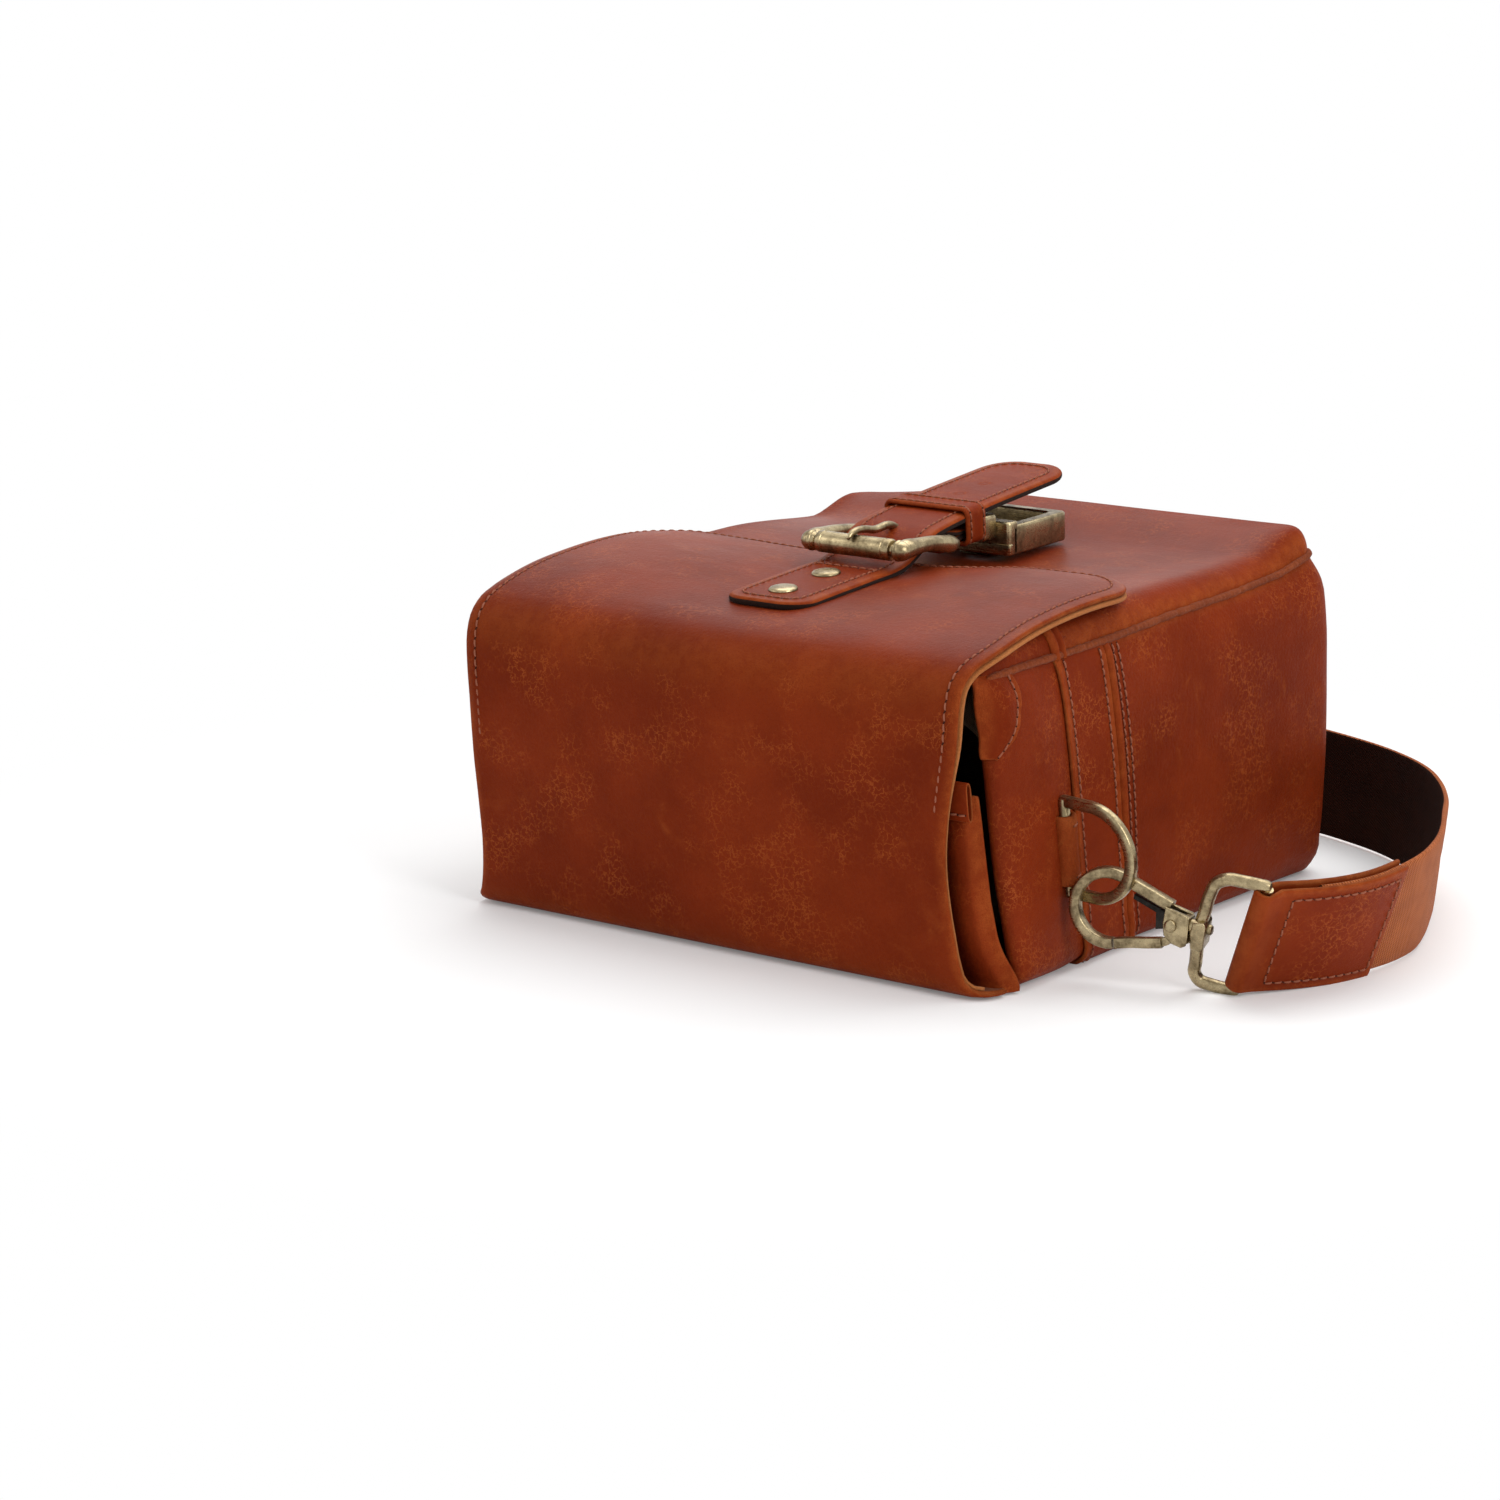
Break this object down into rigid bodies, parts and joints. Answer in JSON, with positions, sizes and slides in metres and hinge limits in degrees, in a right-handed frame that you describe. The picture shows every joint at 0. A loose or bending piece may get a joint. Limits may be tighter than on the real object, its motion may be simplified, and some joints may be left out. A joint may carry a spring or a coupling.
{
  "type": "flight bag",
  "caption": "Leather flight bag lying on its back, with a padded box body, a wrap-over flap, a roller buckle strap with a clip, and a webbing shoulder strap on snap hooks.",
  "frame": {"origin": "centre of the back panel, on the face that the bag lies on", "axes": "+X to the right of the picture, across the bag; +Y from the mouth to the base; +Z out of the back panel, towards the front panel"},
  "size_m": [0.3791, 0.3957, 0.1437],
  "materials": {
    "leather": "pull-up, fine pebble grain",
    "suede": "suede",
    "webbing": "twill",
    "brass": "antique",
    "foam": "closed-cell foam",
    "lining": "plain weave"
  },
  "bodies": {
    "bag": {"back_panel": "leather", "front_panel": "leather", "gusset": "leather", "collar": "leather", "waist_band": "leather", "rim_roll": "leather", "front_welt_left": "leather", "front_welt_right": "leather", "back_foam": "foam", "front_foam": "foam", "gusset_foam": "foam", "lining": "lining", "ear_left": "leather", "ear_right": "leather", "corner_left": "leather", "corner_right": "leather", "flap_hinge": "leather", "catch_stud": "brass", "ring_loop_left": "leather", "ring_loop_right": "leather", "wire_loop_left": "brass", "wire_loop_right": "brass", "strap_end_left": "leather", "strap_end_right": "leather", "strap_webbing": "webbing"},
    "flap_top": {"flap_top_leather": "leather", "flap_top_suede": "suede", "flap_bend": "leather"},
    "flap_front": {"flap_front_leather": "leather", "flap_front_suede": "suede", "billet_strap": "leather", "strap_rivets": "brass", "buckle_frame": "brass", "chape_strap": "leather", "keeper_loop": "leather", "clip_bracket": "brass", "clip_frame": "brass", "clip_plate": "brass"},
    "roller": {"buckle_roller": "brass"},
    "prong": {"buckle_prong": "brass"},
    "ring_left": {"d_ring_left": "brass"},
    "ring_right": {"d_ring_right": "brass"},
    "snap_left": {"hook_left": "brass", "hook_pin_left": "brass"},
    "snap_right": {"hook_right": "brass", "hook_pin_right": "brass"},
    "snap_gate_left": {"gate_left": "brass"},
    "snap_gate_right": {"gate_right": "brass"}
  },
  "joints": [
    {"name": "flap_open", "type": "hinge", "parent": "bag", "child": "flap_top", "pos_m": [0, -0.105, 0], "axis": [1, 0, 0], "range_deg": [0, 72], "deforming": ["flap_hinge"]},
    {"name": "flap_fold", "type": "hinge", "parent": "flap_top", "child": "flap_front", "pos_m": [0, -0.12053, 0.11053], "axis": [1, 0, 0], "range_deg": [0, 85], "deforming": ["flap_bend"]},
    {"name": "roller_spin", "type": "hinge", "parent": "flap_front", "child": "roller", "pos_m": [0, -0.03415, 0.12712], "axis": [1, 0, 0], "continuous": true},
    {"name": "prong_lift", "type": "hinge", "parent": "flap_front", "child": "prong", "pos_m": [0, -0.0044, 0.12551], "axis": [-1, 0, 0], "range_deg": [0, 62]},
    {"name": "ring_left_swing", "type": "hinge", "parent": "bag", "child": "ring_left", "pos_m": [-0.1082, -0.0643, 0.0418], "axis": [0, -0.1392, 0.9903], "range_deg": [-4, 4]},
    {"name": "ring_right_swing", "type": "hinge", "parent": "bag", "child": "ring_right", "pos_m": [0.1082, -0.0643, 0.0418], "axis": [0, -0.1392, 0.9903], "range_deg": [-4, 4]},
    {"name": "swivel_left", "type": "hinge", "parent": "bag", "child": "snap_left", "pos_m": [-0.11789, -0.05142, 0.02586], "axis": [0.1944, -0.9785, -0.0694], "range_deg": [-5, 5]},
    {"name": "swivel_right", "type": "hinge", "parent": "bag", "child": "snap_right", "pos_m": [0.1225, -0.0625, 0.0243], "axis": [0.8746, 0.4848, 0], "range_deg": [-5, 5]},
    {"name": "gate_left_open", "type": "hinge", "parent": "snap_left", "child": "snap_gate_left", "pos_m": [-0.12214, -0.03035, 0.02675], "axis": [-0.9751, -0.2005, 0.0947], "range_deg": [0, 18], "stiffness_Nm_per_rad": 0.05},
    {"name": "gate_right_open", "type": "hinge", "parent": "snap_right", "child": "snap_gate_right", "pos_m": [0.1413, -0.05208, 0.0237], "axis": [-0.4848, 0.8746, 0], "range_deg": [0, 18], "stiffness_Nm_per_rad": 0.05}
  ]
}
